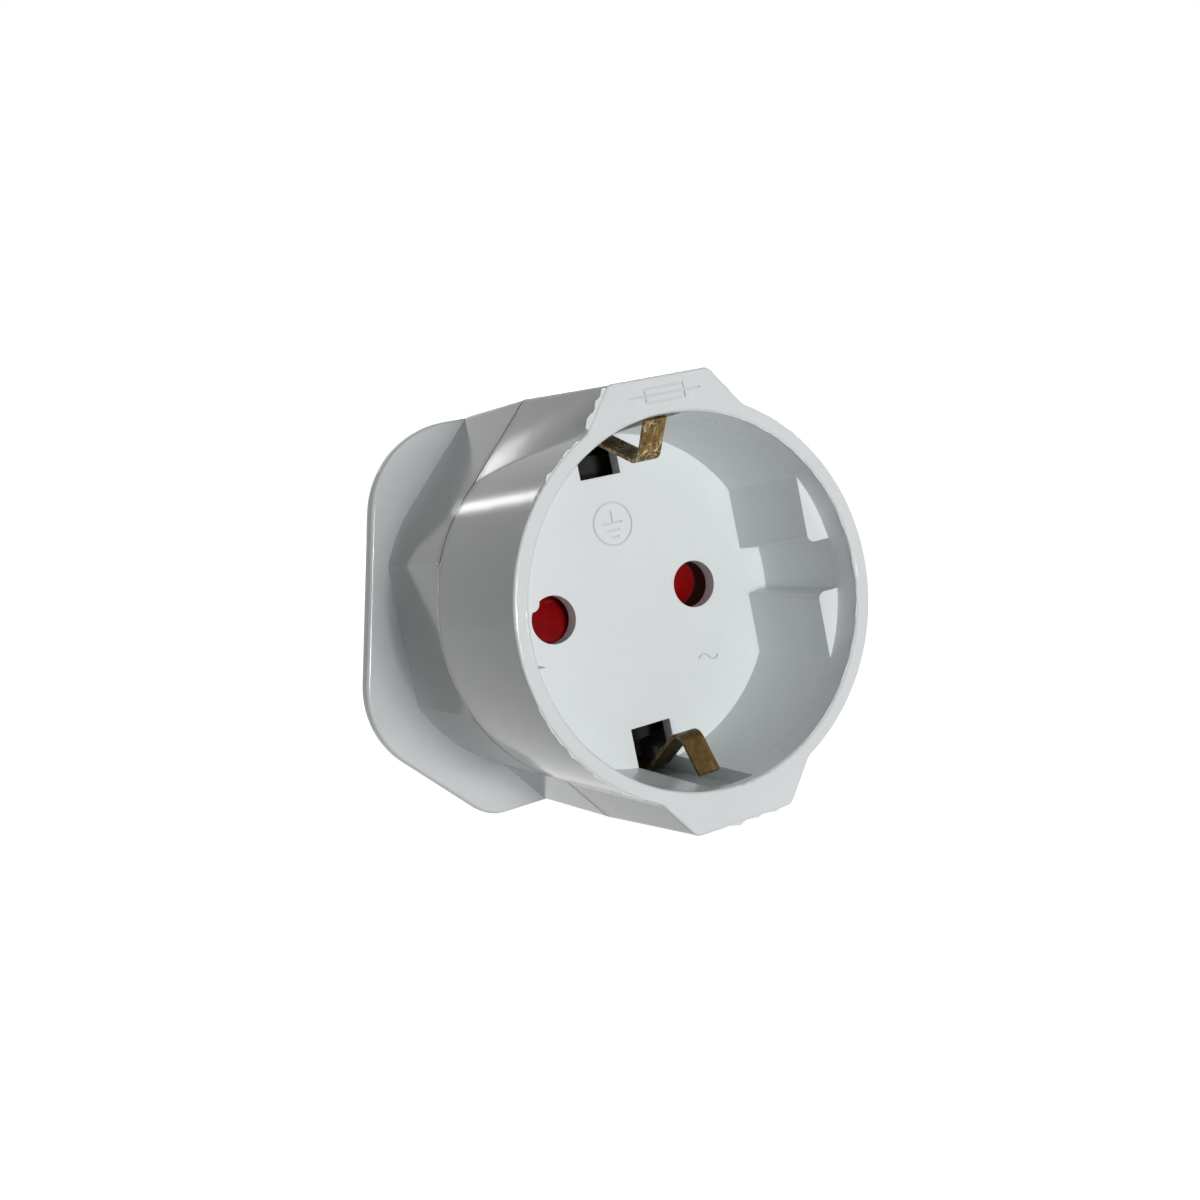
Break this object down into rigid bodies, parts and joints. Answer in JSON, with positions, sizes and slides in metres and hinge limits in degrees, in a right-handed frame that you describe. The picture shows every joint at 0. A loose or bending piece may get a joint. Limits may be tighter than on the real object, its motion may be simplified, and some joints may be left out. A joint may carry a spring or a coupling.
{
  "type": "travel adapter",
  "caption": "Fused travel adapter: round recessed European earthed socket with sprung earth clips in front, flat flanged UK plug with rectangular pins at the back.",
  "frame": {"origin": "centre of the plug face, midway between the live and neutral pins and level halfway between them and the earth pin", "axes": "+Y along the plug pins, away from the socket; +Z towards the earth pin and the upper tab; +X to the right seen from the socket side"},
  "size_m": [0.0526, 0.0647, 0.0508],
  "materials": {
    "body_plastic": "glossy white",
    "carrier_plastic": "glossy white",
    "inner_plastic": "plain white",
    "shutter_plastic": "dark red",
    "sleeve_plastic": "black",
    "brass": "plain",
    "aged_brass": "darkened, worn bright on the contact bends",
    "ceramic": "off-white ceramic",
    "nickel": "nickel plated",
    "spring_steel": "plain wire",
    "screw_steel": "zinc plated"
  },
  "bodies": {
    "housing": {"socket_shell": "body_plastic", "rear_housing": "body_plastic", "upper_earth_clip": "aged_brass", "lower_earth_clip": "aged_brass", "live_pin": "brass", "neutral_pin": "brass", "earth_pin": "brass", "live_pin_sleeve": "sleeve_plastic", "neutral_pin_sleeve": "sleeve_plastic", "live_contact": "brass", "neutral_contact": "brass", "line_fuse_clip": "brass", "load_fuse_clip": "brass", "neutral_bar": "brass", "earth_strap": "brass", "upper_clip_rivet": "brass", "lower_clip_rivet": "brass", "contact_carrier": "inner_plastic", "shutter_spring": "spring_steel", "case_screw_left": "screw_steel", "case_screw_right": "screw_steel"},
    "shutter": {"shutter": "shutter_plastic"},
    "fuse_drawer": {"fuse_carrier": "carrier_plastic", "fuse_tube": "ceramic", "fuse_cap_upper": "nickel", "fuse_cap_lower": "nickel"}
  },
  "joints": [
    {"name": "shutter_turn", "type": "hinge", "parent": "housing", "child": "shutter", "pos_m": [0, -0.0208, 0], "axis": [0, -1, 0], "range_deg": [0, 36], "stiffness_Nm_per_rad": 0.002, "springref_deg": -11.46, "deforming": ["shutter_spring"]},
    {"name": "fuse_drawer_slide", "type": "slide", "parent": "housing", "child": "fuse_drawer", "axis": [0, 1, 0], "range_m": [0, 0.01]}
  ]
}
